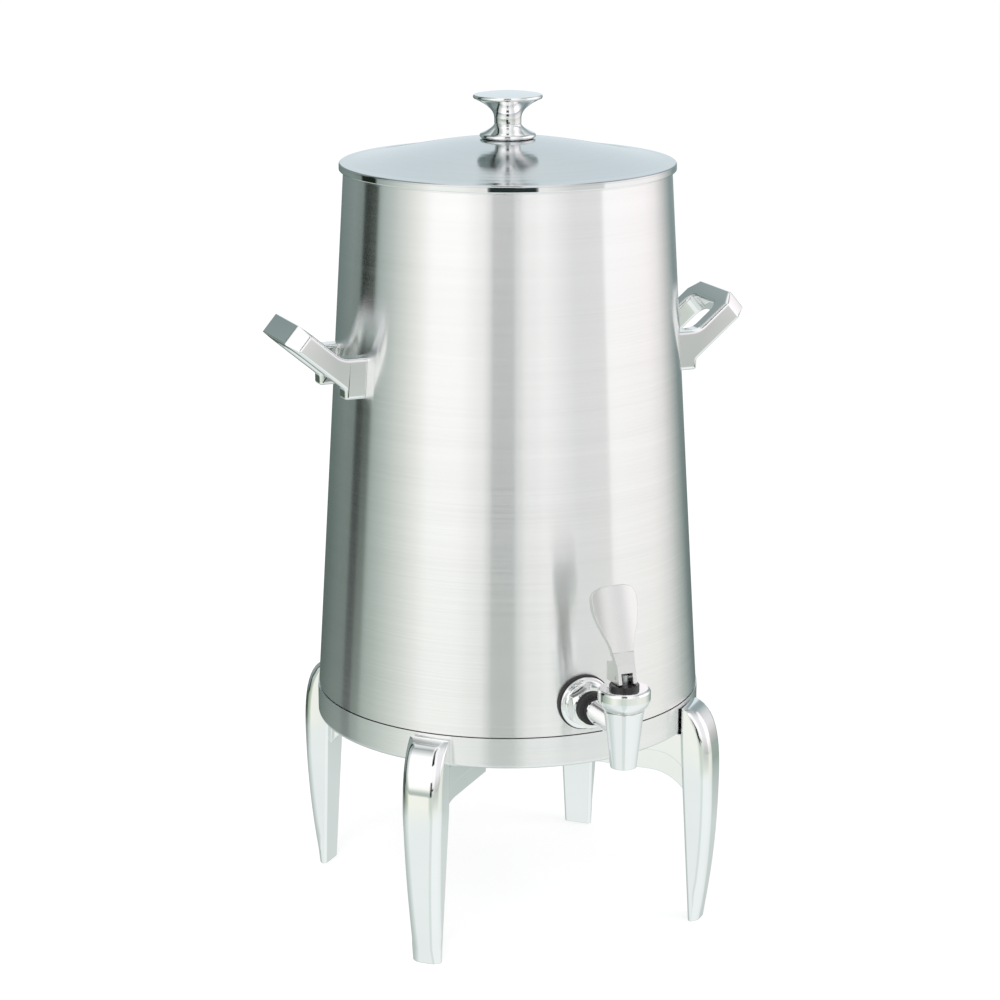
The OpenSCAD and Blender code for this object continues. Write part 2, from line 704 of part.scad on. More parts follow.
outlet_z = tap_z - spout_drop;
spout_top_z = tap_z + 16;
spout_neck_r = chamber_d / 2 + 3.5;
bonnet_z = spout_top_z + 1;
bonnet_top_z = bonnet_z + bonnet_h;
bonnet_roof_t = 4;
spout_neck_top_z = bonnet_top_z - bonnet_roof_t;
seat_z = outlet_z + 14;
bush_z = bonnet_top_z + bush_h;
bush_foot_z = spout_neck_top_z - 6;
stem_r = stem_d / 2;
pin_z = bush_z + pin_rise;
cup_r = chamber_d / 2 - 1.2;
cup_h = 13;
cup_gap = 0.05;
cup_z = seat_z + cup_gap;
stem_flange_t = 1.6;
stem_flange_z = cup_z + cup_h;
stem_flange_r = chamber_d / 2 - 2.5;
stem_foot_z = cup_z + 4;
stem_end = 2.8;       // height of the stem's end above the pin
stem_edge = 0.8;      // bevel of the stem's end

module outlet_tube() {
  color("silver") at_front() lying(tube_in_x, tap_z) difference() {
    cylinder(h = tube_out_x - tube_in_x, r = tube_r);
    translate([0, 0, -1]) cylinder(h = tube_out_x - tube_in_x + 2, r = water_r);
  }
}

module escutcheon_gasket() {
  color("black") difference() {
    at_front() lying(tap_shell_r - 6, tap_z) difference() {
      cylinder(h = 6 + escutcheon_gasket_t, d = escutcheon_d + 1.8);
      translate([0, 0, -1]) cylinder(h = 8 + escutcheon_gasket_t, r = tube_r + fit);
    }
    rotate_extrude($fn = 180) polygon([[0, leg_h], [shell_r(leg_h), leg_h],
      [shell_r(top_z), top_z], [0, top_z]]);
  }
}

module escutcheon() {
  r = escutcheon_d / 2;
  color("gainsboro") at_front() lying(escutcheon_x, tap_z) rotate_extrude($fn = 96) polygon(concat(
    [[tube_r + fit, 0], [r, 0]], arc(r - 1, 1.4, 1, 1, 0, 70, 3),
    arc(r - 1.5, escutcheon_t, 3, escutcheon_t - 2.4, 250, 180, 4),
    [[r - 4.5, escutcheon_t], [tube_r + fit, escutcheon_t]]));
}

module coupling_nut() {
  corner_r = nut_af / sqrt(3);
  bevel = corner_r - nut_af / 2;
  color("gainsboro") at_front() lying(nut_x, tap_z) difference() {
    intersection() {
      cylinder(h = nut_l, r = corner_r, $fn = 6);
      rotate_extrude($fn = 96) polygon([[0, 0], [corner_r, 0], [corner_r, nut_l - bevel],
        [corner_r - bevel, nut_l], [0, nut_l]]);
    }
    translate([0, 0, -1]) cylinder(h = nut_l + 2, r = tube_r + fit);
    translate([0, 0, tube_out_x - nut_x - 0.5])
      cylinder(h = tap_washer_t + tap_flange_t + 0.5 + fit, r = tap_flange_r + fit);
  }
}

module tap_washer() {
  color("black") at_front() lying(tube_out_x, tap_z) difference() {
    cylinder(h = tap_washer_t, r = tube_r);
    translate([0, 0, -1]) cylinder(h = tap_washer_t + 2, r = water_r);
  }
}

module shank_ring() {
  r = shank_ring_d / 2;
  l = shank_ring_l;
  color("black") at_front() lying(shank_ring_x, tap_z) rotate_extrude($fn = 72) polygon(rounded([
    [shank_r + fit, 0, 0], [r, 0, 0.8], [r, l, 0.8], [shank_r + fit, l, 0]], 3));
}

module tap_body() {
  color("gainsboro") at_front() difference() {
    union() {
      translate([tap_x, 0, outlet_z])
        cylinder(h = spout_top_z - outlet_z, d1 = spout_outlet_d, d2 = spout_top_d);
      translate([tap_x, 0, spout_top_z - 1])
        cylinder(h = spout_neck_top_z - fit - spout_top_z + 1, r = spout_neck_r);
      lying(tap_flange_x, tap_z) cylinder(h = tap_x - tap_flange_x, r = shank_r);
      lying(tap_flange_x, tap_z) cylinder(h = tap_flange_t, r = tap_flange_r);
    }
    lying(tap_flange_x - 1, tap_z) cylinder(h = tap_x - tap_flange_x + 1, r = water_r);
    translate([tap_x, 0, seat_z]) cylinder(h = big, r = chamber_d / 2);
    translate([tap_x, 0, outlet_z - 1]) cylinder(h = big, d = outlet_bore_d);
  }
}

module bonnet_nut() {
  r = bonnet_d / 2;
  foot_r = spout_top_d / 2 + 0.6;
  color("gainsboro") at_front() translate([tap_x, 0, 0]) rotate_extrude($fn = 96) polygon(concat(
    [[spout_neck_r + fit, bonnet_z], [foot_r, bonnet_z]],
    [for (i = [1:6]) let(u = i / 6) [foot_r + (r - foot_r) * sin(90 * u), bonnet_z + bonnet_h * 0.5 * u]],
    [[r, bonnet_top_z - 2], [r - 0.7, bonnet_top_z - 0.6], [r - 2, bonnet_top_z],
     [chamber_d / 2 + fit, bonnet_top_z], [chamber_d / 2 + fit, spout_neck_top_z],
     [spout_neck_r + fit, spout_neck_top_z]]));
}

module bonnet_bush() {
  edge = 0.6;
  spigot_r = chamber_d / 2 - fit;
  color("black") at_front() translate([tap_x, 0, 0]) difference() {
    rotate_extrude($fn = 72) polygon(rounded([[0, bush_foot_z, 0], [spigot_r, bush_foot_z, 0],
      [spigot_r, bonnet_top_z, 0], [bush_d / 2, bonnet_top_z, 0], [bush_d / 2, bush_z, edge],
      [0, bush_z, 0]], 3));
    translate([0, 0, bush_foot_z - 1]) cylinder(h = bush_z - bush_foot_z + 2, r = stem_r + running_fit);
  }
}

// Closing spring: a coil swept with hexagonal sections between the stem's flange and the bush
module tap_spring() {
  wire_r = spring_wire_d / 2;
  coil_r = stem_flange_r - wire_r - 0.3;
  low = stem_flange_z + stem_flange_t + wire_r + fit;
  rise = bush_foot_z - wire_r - fit - low;
  steps = 16 * spring_turns;
  ring = [for (i = [0:steps]) let(u = i / steps, t = 360 * spring_turns * u)
    for (k = [0:5]) let(r = coil_r + wire_r * cos(60 * k))
      [r * cos(t), r * sin(t), low + rise * u + wire_r * sin(60 * k)]];
  sides = [for (i = [0:steps - 1]) for (k = [0:5]) let(n = (k + 1) % 6)
    [i * 6 + k, (i + 1) * 6 + k, (i + 1) * 6 + n, i * 6 + n]];
  color("silver") at_front() translate([tap_x, 0, 0]) polyhedron(ring,
    concat([[for (k = [0:5]) k]], sides, [[for (k = [5:-1:0]) steps * 6 + k]]));
}

module tap_stem() {
  color("silver") at_front() translate([tap_x, 0, 0]) difference() {
    union() {
      translate([0, 0, stem_foot_z]) cylinder(h = pin_z + stem_end - stem_edge - stem_foot_z, r = stem_r);
      translate([0, 0, pin_z + stem_end - stem_edge])
        cylinder(h = stem_edge, r1 = stem_r, r2 = stem_r - stem_edge);
      translate([0, 0, stem_flange_z]) cylinder(h = stem_flange_t, r = stem_flange_r);
    }
    translate([0, 0, pin_z]) rotate([90, 0, 0])
      cylinder(h = stem_d * 2, d = pin_d + 2 * running_fit, center = true);
  }
}

module seat_cup() {
  color("whitesmoke") at_front() translate([tap_x, 0, 0]) difference() {
    rotate_extrude($fn = 72) polygon(rounded([[0, cup_z, 0], [cup_r, cup_z, 1.5],
      [cup_r, cup_z + 6, 2], [stem_r + 2, cup_z + cup_h, 1], [0, cup_z + cup_h, 0]], 4));
    translate([0, 0, stem_foot_z]) cylinder(h = cup_h, r = stem_r + running_fit);
  }
}

// ---- Tap lever: its hub rocks on the bush and draws the stem up by its pin ----

hub_gap = 0.3;        // gap under the hub while the tap is shut
hub_base = pin_rise - hub_gap;

// Point of the cam that rests on the bush when the lever has turned by angle a
function cam_point(a) = let(p = hub_base + cam_lift * a * PI / 180)
  [p * sin(a) + cam_lift * cos(a), -p * cos(a) + cam_lift * sin(a)];
hub_front = cam_point(lever_turn).x + 0.1;
hub_top = hub_h - hub_base;
hub_slope = 3.6;      // how far the hub's front leans back over its height
neck_foot = [hub_front - hub_slope, hub_top];
neck_top = neck_foot + neck_h * [-tan(neck_lean), 1];
paddle_back = [-cos(paddle_lean), -sin(paddle_lean)];
paddle_foot = neck_top + paddle_t / 2 * paddle_back;

// Side outline of hub and neck about the pin, with +X towards the front
module hub_side() {
  polygon(concat(
    [[-hub_rear, -hub_base]], [for (i = [0:6]) cam_point(lever_turn * i / 6)],
    [[hub_front, cam_point(lever_turn).y + 0.5], neck_foot, neck_top,
     neck_top + (paddle_t + 1) * paddle_back, [neck_foot.x - 7.3, hub_top + 1.7],
     [-hub_rear + 0.8, hub_top - 1], [-hub_rear, hub_top - 1.8]]));
}

// Front outline of hub and neck
module hub_face() {
  h = hub_w / 2;
  n = paddle_foot_w / 2;
  polygon([[-h, -big / 10], [h, -big / 10], [h, hub_top], [n, neck_top.y], [n, big / 10],
    [-n, big / 10], [-n, neck_top.y], [-h, hub_top]]);
}

// Front outline of the paddle from its foot up: a flare, then a squarish round end
module paddle_face() {
  h = paddle_w / 2;
  n = paddle_foot_w / 2;
  end = paddle_l * 0.24;
  shoulder = paddle_l - end;
  flare = [for (i = [0:10]) let(u = i / 10)
    [n + (h - n) * (1 - cos(180 * pow(u, 0.8))) / 2, shoulder * u]];
  top = [for (i = [1:13]) let(t = 90 * i / 14) [h * pow(cos(t), 2 / 3), shoulder + end * pow(sin(t), 2 / 3)]];
  right = concat([[n, -2]], flare, top);
  polygon(concat(right, [[0, paddle_l]], [for (i = [len(right) - 1:-1:0]) [-right[i].x, right[i].y]]));
}

module paddle() {
  translate([paddle_foot.x, 0, paddle_foot.y]) rotate([0, -paddle_lean, 0]) intersection() {
    translate([-big / 10, 0, 0]) rotate([90, 0, 90]) linear_extrude(big / 5) paddle_face();
    translate([paddle_t / 2 - paddle_crown_r, 0, -5]) difference() {
      cylinder(h = paddle_l + 10, r = paddle_crown_r, $fn = 144);
      translate([0, 0, -1]) cylinder(h = paddle_l + 12, r = paddle_crown_r - paddle_t, $fn = 144);
      translate([-big, -big / 2, -1]) cube([big, big, paddle_l + 12]);
    }
  }
}

module tap_lever() {
  slot_top = norm([stem_r - stem_edge, stem_end]) + 0.4;
  color("gainsboro") at_front() translate([tap_x, 0, pin_z]) difference() {
    union() {
      intersection() {
        rotate([90, 0, 0]) translate([0, 0, -hub_w]) linear_extrude(2 * hub_w) hub_side();
        translate([-big / 10, 0, 0]) rotate([90, 0, 90]) linear_extrude(big / 5) hub_face();
      }
      paddle();
    }
    translate([-stem_r - 1.2, -hub_slot_w / 2, -hub_base - 1])
      cube([big, hub_slot_w, hub_base + 1 + slot_top]);
    rotate([90, 0, 0]) cylinder(h = hub_w + 2, d = pin_d + running_fit, center = true);
  }
}

module lever_pin() {
  color("silver") at_front() translate([tap_x, 0, pin_z]) rotate([90, 0, 0])
    cylinder(h = hub_w, d = pin_d, center = true);
}

outer_shell();
inner_liner();
mouth_ring();
jacket_bottom();
vacuum_seal_cap();
base_pan();
base_standoffs();
base_screws();
leg_front_left();
leg_front_right();
leg_rear_left();
leg_rear_right();
leg_screws();
leg_washers();
handle_left();
handle_right();
handle_pads();
handle_screws();
lid_shell();
lid_pan();
lid_insulation();
lid_gasket();
knob();
knob_base();
knob_screw();
knob_washer();
outlet_tube();
escutcheon_gasket();
escutcheon();
coupling_nut();
tap_washer();
shank_ring();
tap_body();
bonnet_nut();
bonnet_bush();
tap_spring();
tap_stem();
seat_cup();
tap_lever();
lever_pin();
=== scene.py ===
import json
import math

import bmesh
import bpy
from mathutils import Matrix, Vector


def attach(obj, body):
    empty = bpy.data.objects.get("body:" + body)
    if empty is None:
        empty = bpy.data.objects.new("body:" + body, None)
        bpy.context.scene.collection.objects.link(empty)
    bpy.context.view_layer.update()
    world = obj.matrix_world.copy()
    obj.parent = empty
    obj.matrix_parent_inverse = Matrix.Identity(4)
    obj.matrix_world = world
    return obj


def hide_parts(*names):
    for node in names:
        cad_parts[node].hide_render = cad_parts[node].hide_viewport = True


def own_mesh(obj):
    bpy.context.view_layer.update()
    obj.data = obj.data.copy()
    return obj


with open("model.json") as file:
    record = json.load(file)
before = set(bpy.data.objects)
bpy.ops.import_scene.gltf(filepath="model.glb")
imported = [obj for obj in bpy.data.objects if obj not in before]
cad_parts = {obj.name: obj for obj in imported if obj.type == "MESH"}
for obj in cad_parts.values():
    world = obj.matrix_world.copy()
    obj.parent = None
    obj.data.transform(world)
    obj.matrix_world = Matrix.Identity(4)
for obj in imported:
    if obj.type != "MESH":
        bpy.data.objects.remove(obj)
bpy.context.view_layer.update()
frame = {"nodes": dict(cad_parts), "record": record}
nodes = frame["nodes"]

WHITE = (1, 1, 1)
BLACK = (0, 0, 0)
NOISE = (0.3, 0.7)         # most of a noise's values lie between these

# The camera that took the photograph, in degrees and metres
CAMERA_TURN = -22.7        # how far round from the front of the urn it stands
CAMERA_DISTANCE = 2.198    # from the urn's axis
CAMERA_HEIGHT = 0.8967
CAMERA_DOWN = 14.60        # how far it looks down
CAMERA_ASIDE = 0.154       # how far it looks past the axis, on the left
CAMERA_LENS = 104.4        # in mm, on a sensor 36 mm wide


# ---- Node helpers: t is a node tree ----

def new_tree(owner):
    """The node tree of a material or world, emptied."""
    owner.use_nodes = True
    owner.node_tree.nodes.clear()
    return owner.node_tree


def add(t, kind, inputs=None, **settings):
    """A new node. Each input is linked where it is given another node's output, and otherwise set."""
    n = t.nodes.new(kind)
    for key, value in settings.items():
        setattr(n, key, value)
    for key, value in (inputs or {}).items():
        if isinstance(value, bpy.types.NodeSocket):
            t.links.new(value, n.inputs[key])
        else:
            n.inputs[key].default_value = (*value, 1) if n.inputs[key].type == "RGBA" else value
    return n


def ramp(t, stops, source):
    n = add(t, "ShaderNodeValToRGB", {"Fac": source})
    elements = n.color_ramp.elements
    while len(elements) > 1:
        elements.remove(elements[0])
    for i, (place, colour) in enumerate(stops):
        stop = elements[0] if i == 0 else elements.new(place)
        stop.position = place
        stop.color = (*colour, 1)
    return n.outputs["Color"]


def stretched_noise(t, scale, stretch, detail, rough, seed=(0, 0, 0)):
    """Noise over object coordinates, which are the row frame's, with each axis scaled by stretch."""
    place = add(t, "ShaderNodeTexCoord").outputs["Object"]
    place = add(t, "ShaderNodeMapping", {
        "Vector": place, "Scale": stretch, "Location": seed}).outputs["Vector"]
    return add(t, "ShaderNodeTexNoise", {
        "Vector": place, "Scale": scale, "Detail": detail, "Roughness": rough}).outputs["Fac"]


def spread(t, source, low, high, start, end):
    """Maps source from start..end to low..high, and keeps it inside."""
    return add(t, "ShaderNodeMapRange", {
        "Value": source, "From Min": start, "From Max": end,
        "To Min": low, "To Max": high}).outputs["Result"]


def calculate(t, operation, a, b):
    return add(t, "ShaderNodeMath", {0: a, 1: b}, operation=operation).outputs[0]


def times(t, a, b):
    return calculate(t, "MULTIPLY", a, b)


def blend(t, factor, a, b, kind="MIX"):
    return add(t, "ShaderNodeMix", {"Factor": factor, "A": a, "B": b},
               data_type="RGBA", blend_type=kind).outputs["Result"]


def mean(t, a, b):
    return add(t, "ShaderNodeMix", {"Factor": 0.5, "A": a, "B": b}, data_type="FLOAT").outputs["Result"]


def two_tone(t, source, dark, light):
    return ramp(t, [(NOISE[0], dark), (NOISE[1], light)], source)


def bump(t, source, strength, distance, normal=None):
    inputs = {"Height": source, "Strength": strength, "Distance": distance}
    if normal is not None:
        inputs["Normal"] = normal
    return add(t, "ShaderNodeBump", inputs).outputs["Normal"]


def soft_edges(t, radius):
    return add(t, "ShaderNodeBevel", {"Radius": radius}, samples=6).outputs["Normal"]


def seen_by(t, ray, other):
    """1 for rays of these two kinds, 0 for the rest."""
    path = add(t, "ShaderNodeLightPath").outputs
    return calculate(t, "MAXIMUM", path[f"Is {ray} Ray"], path[f"Is {other} Ray"])


# ---- Materials ----

LID_RIM_TOP = 0.5888       # height of the upper edge of the lid's polished rim
RIM_BLUR = 0.0005          # half the height over which polished turns into brushed
BRIGHT_RIM = (0.92, 0.94, 0.95)


def principled(name, build, values):
    """A material whose shader takes the inputs that build gives."""
    m = bpy.data.materials.new(name)
    t = new_tree(m)
    shader = add(t, "ShaderNodeBsdfPrincipled", build(t, **values))
    add(t, "ShaderNodeOutputMaterial", {"Surface": shader.outputs["BSDF"]})
    return m


def brushed(t, dark, light, rough, grain, aniso, depth, bright_below=None):
    """Sheet steel brushed round the urn's axis: grain runs level and reflections smear upright.

    Below the height bright_below it is polished, and as light as BRIGHT_RIM.
    """
    fine = stretched_noise(t, 1.0, (6, 6, 1500), 3, 0.6)
    broad = stretched_noise(t, 1.0, (2, 2, 60), 2, 0.5, (4, 1, 2))
    tone = two_tone(t, mean(t, fine, broad), dark, light)
    gloss = spread(t, fine, rough - grain, rough + grain, *NOISE)
    if bright_below is not None:
        place = add(t, "ShaderNodeTexCoord").outputs["Object"]
        z = add(t, "ShaderNodeSeparateXYZ", {"Vector": place}).outputs["Z"]
        above = spread(t, z, 0, 1, bright_below - RIM_BLUR, bright_below + RIM_BLUR)
        gloss = times(t, gloss, spread(t, above, 0.2, 1, 0, 1))
        tone = blend(t, above, BRIGHT_RIM, tone)
    tangent = add(t, "ShaderNodeTangent", direction_type="RADIAL", axis="Z").outputs["Tangent"]
    return {"Base Color": tone, "Roughness": gloss, "Metallic": 1.0, "Anisotropic": aniso,
            "Anisotropic Rotation": 0.25, "Tangent": tangent, "Normal": bump(t, fine, 0.15, depth)}


def polished(t, dark, light, rough, smear, edge):
    """Chrome or polished steel. Faint wiping marks add up to smear to its roughness."""
    cloud = stretched_noise(t, 14.0, (1, 1, 1), 3, 0.6)
    wipe = stretched_noise(t, 1.0, (60, 60, 700), 2, 0.6, (3, 2, 1))
    return {"Base Color": two_tone(t, cloud, dark, light), "Metallic": 1.0,
            "Roughness": spread(t, times(t, cloud, wipe), rough, rough + smear, 0.1, 0.45),
            "Normal": soft_edges(t, edge)}


def satin(t, dark, light, rough, edge):
    """Finely blasted metal."""
    fine = stretched_noise(t, 1.0, (900, 900, 900), 3, 0.6)
    return {"Base Color": two_tone(t, fine, dark, light), "Metallic": 1.0,
            "Roughness": spread(t, fine, rough - 0.03, rough + 0.03, *NOISE),
            "Normal": bump(t, fine, 0.2, 0.00002, soft_edges(t, edge))}


def dull(t, dark, light, rough, scale, depth, edge=None):
    """Rubber, plastic, silicone or fibre."""
    grain = stretched_noise(t, scale, (1, 1, 1), 4, 0.6)
    return {"Base Color": two_tone(t, grain, dark, light),
            "Roughness": spread(t, grain, rough - 0.06, rough + 0.06, *NOISE),
            "Normal": bump(t, grain, 0.3, depth, soft_edges(t, edge) if edge else None)}


# Each slot's finish. dark and light are the ends of its colour, rough is the middle of its roughness.
FINISHES = {
    "brushed_body": (brushed, dict(dark=(0.85, 0.85, 0.85), light=(0.91, 0.91, 0.91),
                                   rough=0.21, grain=0.02, aniso=1.0, depth=0.000004)),
    "satin_lid": (brushed, dict(dark=(0.64, 0.66, 0.665), light=(0.68, 0.70, 0.705),
                                rough=0.12, grain=0.015, aniso=0.2, depth=0.000002,
                                bright_below=LID_RIM_TOP)),
    "polished_chrome": (polished, dict(dark=(0.88, 0.89, 0.89), light=(0.92, 0.93, 0.93),
                                       rough=0.03, smear=0.02, edge=0.0012)),
    "satin_chrome": (satin, dict(dark=(0.74, 0.75, 0.73), light=(0.78, 0.79, 0.77),
                                 rough=0.34, edge=0.0008)),
    "liner_steel": (brushed, dict(dark=(0.66, 0.66, 0.64), light=(0.74, 0.74, 0.72),
                                  rough=0.3, grain=0.03, aniso=0.5, depth=0.000004)),
    "plain_steel": (polished, dict(dark=(0.50, 0.51, 0.52), light=(0.60, 0.61, 0.62),
                                   rough=0.25, smear=0.1, edge=0.0003)),
    "black_rubber": (dull, dict(dark=(0.012, 0.012, 0.012), light=(0.03, 0.03, 0.03),
                                rough=0.55, scale=900, depth=0.00005, edge=0.0004)),
    "black_plastic": (dull, dict(dark=(0.012, 0.012, 0.013), light=(0.025, 0.025, 0.027),
                                 rough=0.28, scale=500, depth=0.00001, edge=0.0004)),
    "seal_silicone": (dull, dict(dark=(0.74, 0.74, 0.70), light=(0.84, 0.84, 0.80),
                                 rough=0.5, scale=300, depth=0.00002)),
    "lid_wool": (dull, dict(dark=(0.66, 0.58, 0.36), light=(0.84, 0.78, 0.56),
                            rough=0.9, scale=700, depth=0.0005)),
}
MATERIALS = {slot: principled(slot, build, values) for slot, (build, values) in FINISHES.items()}
SLOTS = {s["node"]: s["material_slot"] for s in frame["record"]["subparts"]}
for name, obj in nodes.items():
    obj.data.materials.clear()
    obj.data.materials.append(MATERIALS[SLOTS[name]])


# ---- Pieces that stand for a node: its own mesh, with rounded edges or smooth shading ----

SHELL_LOW = (0.1796, 0.1495)       # height and radius of the shell at its lower edge
SHELL_HIGH = (0.5832, 0.1253)
TOUCHING = 0.0006                  # closer than this to the shell or the table is touching it
WELD = 0.00002                     # corners closer than this are one
TINY = 0.00001                     # no face is this narrow
FLAT = 0.6                         # degrees between faces that become one
EDGE = 25                          # an edge turns by more degrees than this
SQUARE = 62                        # a square edge turns by as many degrees, and a bevel's by fewer
SHARE = 0.42                       # most of a face's width that one rounded edge takes
BAND = 32                          # degrees between the bands of a curved outline, at most


def across(face, edge):
    """How wide a face is, measured square to the middle of one of its edges."""
    loop = next(l for l in face.loops if l.edge == edge)
    middle = (edge.verts[0].co + edge.verts[1].co) / 2
    along = (loop.link_loop_next.vert.co - loop.vert.co).normalized()
    inward = face.normal.cross(along)
    widths = [math.inf]
    for other in face.edges:
        p, q = (v.co - middle for v in other.verts)
        a, b = p.dot(along), q.dot(along)
        if other != edge and a * b <= 0 and a != b:
            widths.append((p + (q - p) * (a / (a - b))).dot(inward))
    return min(w for w in widths if w > TINY)


def beyond_shell(point):
    """How far a point lies outside the conical shell."""
    part = (point.z - SHELL_LOW[0]) / (SHELL_HIGH[0] - SHELL_LOW[0])
    return math.hypot(point.x, point.y) - SHELL_LOW[1] - (SHELL_HIGH[1] - SHELL_LOW[1]) * part


def is_free(edge):
    """Whether an edge stands clear of the shell and of the table."""
    return (max(beyond_shell(v.co) for v in edge.verts) > TOUCHING
            and max(v.co.z for v in edge.verts) > TOUCHING)


def start_mesh(node):
    b = bmesh.new()
    b.from_mesh(nodes[node].data)
    bmesh.ops.remove_doubles(b, verts=b.verts, dist=WELD)
    return b


def end_mesh(b, name):
    """The edited mesh, which is shaded smooth across the edges that are marked so."""
    for f in b.faces:
        f.smooth = True
    mesh = bpy.data.meshes.new(name)
    b.to_mesh(mesh)
    b.free()
    spare = mesh.attributes.get("custom_normal")
    if spare:
        mesh.attributes.remove(spare)
    return mesh


def stand_in(node, body, mesh):
    """A piece that is named after its mesh takes the node's place, body and material."""
    o = bpy.data.objects.new(mesh.name, mesh)
    bpy.context.scene.collection.objects.link(o)
    mesh.materials.clear()
    mesh.materials.append(MATERIALS[SLOTS[node]])
    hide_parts(node)
    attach(o, body)
    return o


def cast(node, body, round_soft, round_sharp, narrow):
    """Stands for a casting. Bevels are rounded by round_soft at most, and square edges by round_sharp.

    Faces that are less than narrow across keep their edges, and so do those at the shell or the table.
    """
    b = start_mesh(node)
    bmesh.ops.dissolve_limit(b, angle_limit=math.radians(FLAT), verts=b.verts, edges=b.edges)
    weight = b.edges.layers.float.new("bevel_weight_edge")
    widest = max(round_soft, round_sharp)
    for e in b.edges:
        if len(e.link_faces) != 2:
            continue
        angle = math.degrees(e.calc_face_angle(0))
        e.smooth = angle < EDGE
        room = min(across(f, e) for f in e.link_faces)
        if angle > EDGE and room > narrow and is_free(e):
            e[weight] = min(round_soft if angle < SQUARE else round_sharp, SHARE * room) / widest
            e.smooth = True
    o = stand_in(node, body, end_mesh(b, node + "_cast"))
    edges = o.modifiers.new("rounded", "BEVEL")
    edges.limit_method = "WEIGHT"
    edges.width = widest
    edges.segments = 5
    edges.use_clamp_overlap = False
    edges.harden_normals = True


def smoothed(node, body, form):
    """Stands for a node whose curved outline is shaded without bands."""
    b = start_mesh(node)
    for e in b.edges:
        e.smooth = len(e.link_faces) == 2 and math.degrees(e.calc_face_angle(0)) < BAND
    return stand_in(node, body, end_mesh(b, node + form))


for name in ("leg_front_left", "leg_front_right", "leg_rear_left", "leg_rear_right"):
    cast(name, "root", round_soft=0.0030, round_sharp=0.0012, narrow=0.003)
for name in ("handle_left", "handle_right"):
    cast(name, "root", round_soft=0.0028, round_sharp=0.0028, narrow=0.0012)
for name in ("knob", "knob_base"):
    smoothed(name, "lid", "_turned")

# The closing spring hangs from the bush, and has a mesh of its own
spring = smoothed("tap_spring", "root", "_coil")
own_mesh(spring)


# ---- Studio: a white room with soft boxes and darker walls, which only gloss sees ----
# Sides are in degrees round from the camera, and the right is positive.
# Heights are the sine of the angle above the horizon.

# The light of the walls
WALLS = [
    (-180, (0.20, 0.25, 0.25)), (-165, (0.20, 0.26, 0.26)), (-150, (0.24, 0.30, 0.30)),
    (-130, (0.29, 0.35, 0.34)), (-117.5, (0.25, 0.30, 0.29)), (-115.5, (0.02, 0.025, 0.02)),
    (-100.5, (0.015, 0.02, 0.015)), (-98.5, (0.38, 0.44, 0.43)), (-95, (0.47, 0.53, 0.52)),
    (-85, (0.62, 0.67, 0.66)), (-72, (0.88, 0.89, 0.87)), (-60, (1.16, 1.13, 1.12)),
    (-52, (1.34, 1.33, 1.33)), (-30, (1.34, 1.32, 1.32)), (-18, (1.14, 1.11, 1.12)),
    (3, (1.12, 1.11, 1.13)), (5, (0.99, 0.99, 1.00)), (8.5, (0.99, 0.99, 1.00)),
    (10, (1.14, 1.12, 1.13)), (25, (1.17, 1.14, 1.16)),
    (45, (0.90, 0.88, 0.91)), (67, (0.90, 0.88, 0.90)), (69, (1.28, 1.25, 1.28)),
    (108, (1.29, 1.21, 1.25)), (120, (1.18, 1.11, 1.14)), (130, (0.88, 0.85, 0.87)),
    (140, (0.56, 0.60, 0.61)), (150, (0.32, 0.39, 0.40)), (160, (0.31, 0.38, 0.40)),
    (172, (0.42, 0.48, 0.50)), (180, (0.22, 0.27, 0.27)),
]
# How the walls darken towards the floor, by a height that is 0 straight down and 1 straight up
WALL_FOOT = [
    (0.39, (0.56, 0.60, 0.56)), (0.42, (0.70, 0.72, 0.68)), (0.455, (0.87, 0.88, 0.86)),
    (0.50, WHITE), (1, WHITE),
]
# The table, and its far edge
TABLE = [
    (-180, (0.11, 0.15, 0.13)), (-130, (0.08, 0.11, 0.09)), (-119.5, (0.08, 0.10, 0.08)),
    (-118.5, (0.02, 0.025, 0.02)), (-110.5, (0.02, 0.025, 0.02)), (-109.5, (0.26, 0.33, 0.28)),
    (-90, (0.38, 0.46, 0.36)), (-70, (0.60, 0.67, 0.55)), (-50, (0.96, 0.97, 0.88)),
    (-40, (0.96, 0.97, 0.88)), (-21, (0.74, 0.78, 0.69)), (-17.5, (0.72, 0.77, 0.68)),
    (-15, (0.60, 0.68, 0.59)), (7.5, (0.66, 0.73, 0.64)), (9.5, (0.76, 0.80, 0.72)),
    (30, (0.84, 0.88, 0.79)), (60, (0.90, 0.92, 0.83)), (105, (0.82, 0.84, 0.76)),
    (120, (0.58, 0.64, 0.59)), (135, (0.36, 0.43, 0.39)), (155, (0.15, 0.20, 0.19)),
    (180, (0.11, 0.15, 0.13)),
]
TABLE_EDGE = -0.216
# The table close to the urn, which is evenly lit
TABLE_NEAR = [
    (-180, (0.40, 0.46, 0.44)), (-110, (0.58, 0.65, 0.63)), (-60, (0.86, 0.91, 0.90)),
    (-16, (0.86, 0.91, 0.90)), (-12, (0.74, 0.80, 0.78)), (8, (0.74, 0.80, 0.78)),
    (12, (0.91, 0.96, 0.95)), (60, (0.91, 0.96, 0.95)), (105, (0.86, 0.91, 0.90)),
    (180, (0.40, 0.46, 0.44)),
]
# A darker part of the table on the right, and a dark strip behind its edge on the left
TABLE_RIGHT = [(-5, BLACK), (22, WHITE), (50, WHITE), (75, BLACK)]
TABLE_RIGHT_TONE = (0.62, 0.67, 0.62)
STRIP_LEFT = [(-80, BLACK), (-60, (0.7, 0.7, 0.7)), (-25, (0.7, 0.7, 0.7)), (-12, BLACK)]
STRIP_LEFT_TONE = (0.32, 0.38, 0.35)
